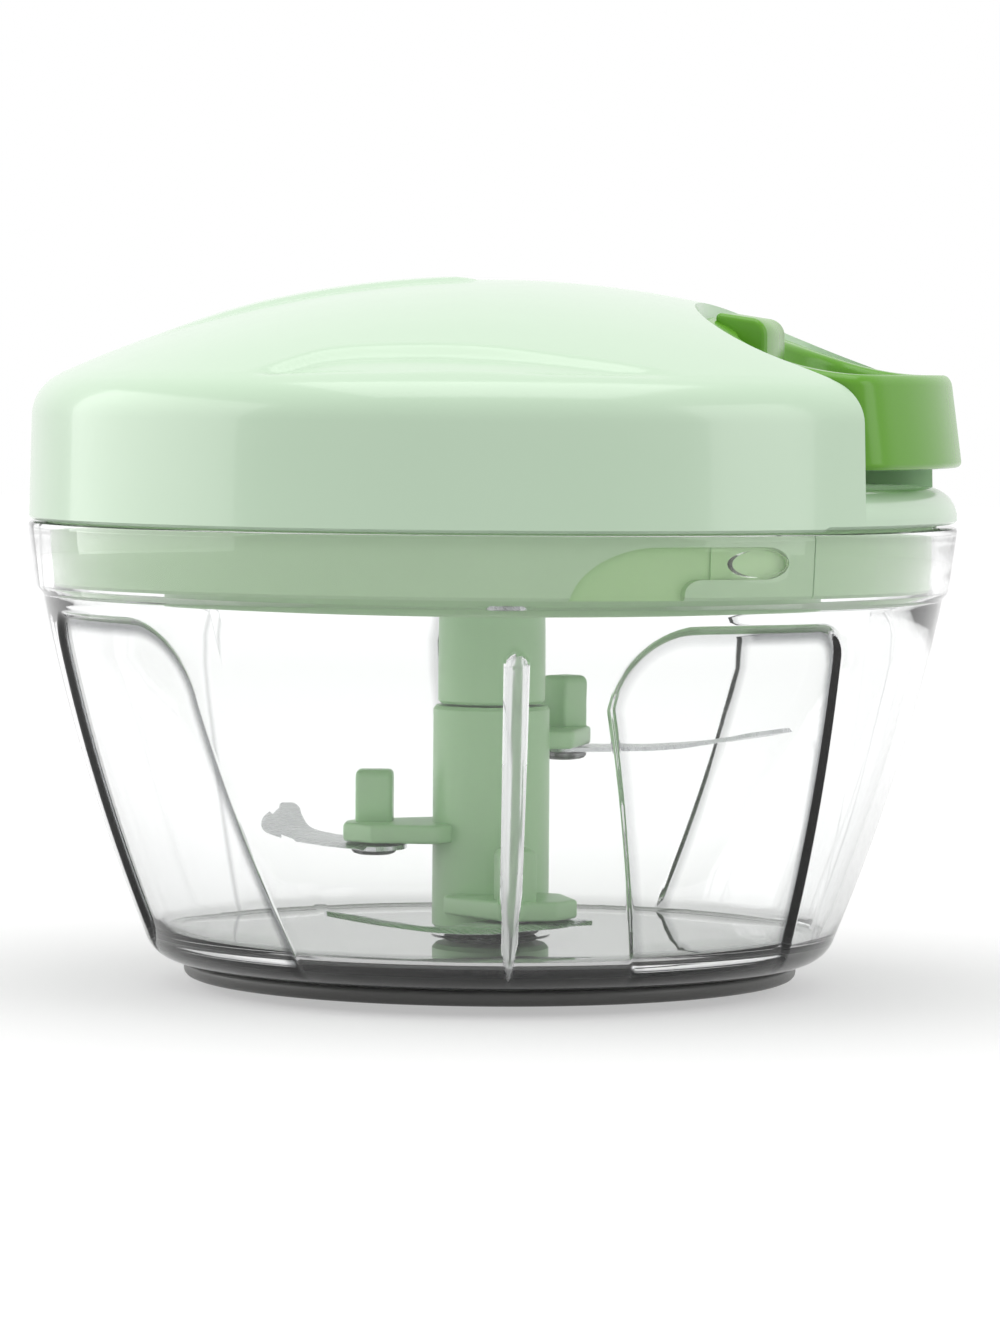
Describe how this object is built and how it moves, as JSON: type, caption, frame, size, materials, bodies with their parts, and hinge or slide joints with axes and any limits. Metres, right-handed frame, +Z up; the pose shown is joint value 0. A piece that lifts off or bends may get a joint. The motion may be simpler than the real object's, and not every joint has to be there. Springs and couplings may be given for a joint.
{
  "type": "vegetable chopper",
  "caption": "Pull-cord vegetable chopper: a clear tapered bowl on a grey pad, a domed mint lid with a green ring pull handle, and a column of curved steel blades.",
  "frame": {"origin": "on the bowl's axis, at the underside of the base pad", "axes": "+Z up along the bowl, lid and blade axis; +X the way the handle is pulled out of the lid"},
  "size_m": [0.1307, 0.1302, 0.0997],
  "materials": {
    "mint": "gloss moulded plastic, pale mint",
    "mint_inner": "moulded plastic, deeper mint",
    "green": "gloss moulded plastic, leaf green",
    "clear_bowl": "clear moulded plastic",
    "grey_pad": "dark grey soft plastic",
    "steel": "satin stainless steel",
    "white_plastic": "slippery moulded plastic, off-white"
  },
  "bodies": {
    "bowl": {"bowl": "clear_bowl", "base_pad": "grey_pad", "pivot_pin": "steel"},
    "lid": {"lid_shell": "mint", "lid_base": "mint", "lid_screw_1": "steel", "lid_screw_2": "steel", "lid_screw_3": "steel", "lid_screw_4": "steel", "shaft_bush": "white_plastic", "spring_arbor": "steel", "return_spring": "steel", "cord_guide": "white_plastic"},
    "rotor": {"cord_drum": "white_plastic", "drum_screw": "steel", "drive_shaft": "mint_inner", "blade_carrier": "mint_inner", "blade_lower": "steel", "blade_middle": "steel", "blade_upper": "steel", "rivet_lower": "steel", "rivet_middle": "steel", "rivet_upper": "steel", "shaft_washer": "steel"},
    "handle": {"pull_handle": "green", "cord_anchor": "green"}
  },
  "joints": [
    {"name": "lid_twist", "type": "hinge", "parent": "bowl", "child": "lid", "pos_m": [0, 0, 0.065], "axis": [0, 0, 1], "range_deg": [0, 15]},
    {"name": "handle_pull", "type": "slide", "parent": "lid", "child": "handle", "axis": [1, 0, 0], "range_m": [0, 0.4], "stiffness_N_per_m": 8, "springref_m": -0.25},
    {"name": "rotor_spin", "type": "hinge", "parent": "lid", "child": "rotor", "pos_m": [0, 0, 0.065], "axis": [0, 0, 1], "range_deg": [0, 1915]}
  ],
  "couplings": [
    {"joint": "rotor_spin", "follows": "handle_pull", "rad_per_m": 83.333}
  ]
}
